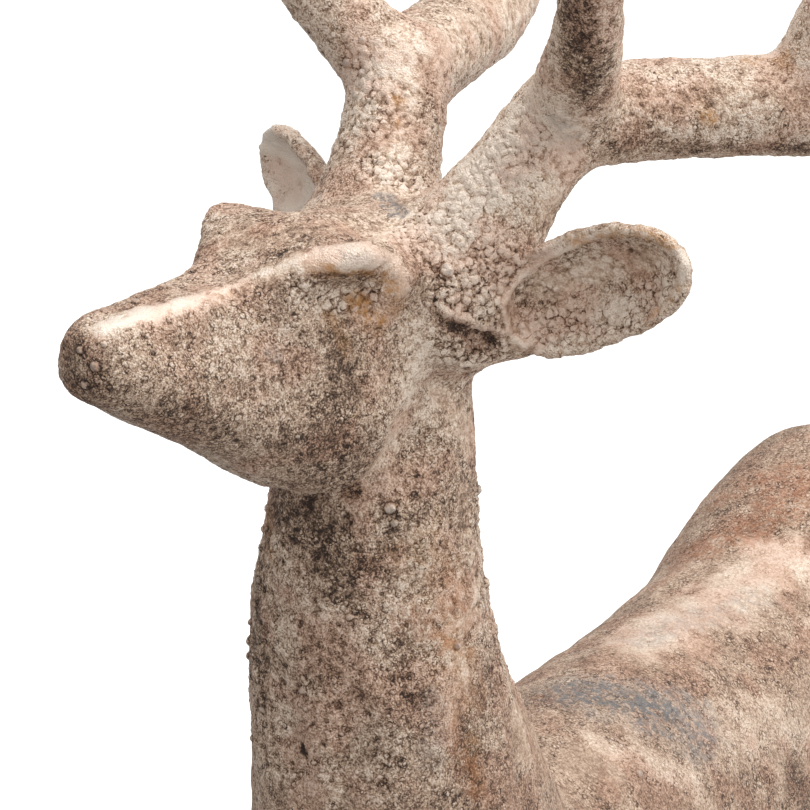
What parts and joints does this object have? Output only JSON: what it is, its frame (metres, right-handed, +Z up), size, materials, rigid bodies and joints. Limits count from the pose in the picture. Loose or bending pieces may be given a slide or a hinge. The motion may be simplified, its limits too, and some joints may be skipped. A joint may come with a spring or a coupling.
{
  "type": "deer figurine",
  "caption": "Standing stag with its head turned, full antlers and leaf-shaped ears, cast in one with a low flat base.",
  "frame": {"origin": "middle of the base's flat underside", "axes": "+Z up, the stag's chest faces -Y, its left side is +X"},
  "size_m": [0.192, 0.4395, 0.5637],
  "materials": {
    "patinated_bronze": "rough beige brown patina with grit and crust, dark in the hollows, worn brighter on the ridges"
  },
  "bodies": {
    "root": {"stag": "patinated_bronze"}
  },
  "joints": []
}
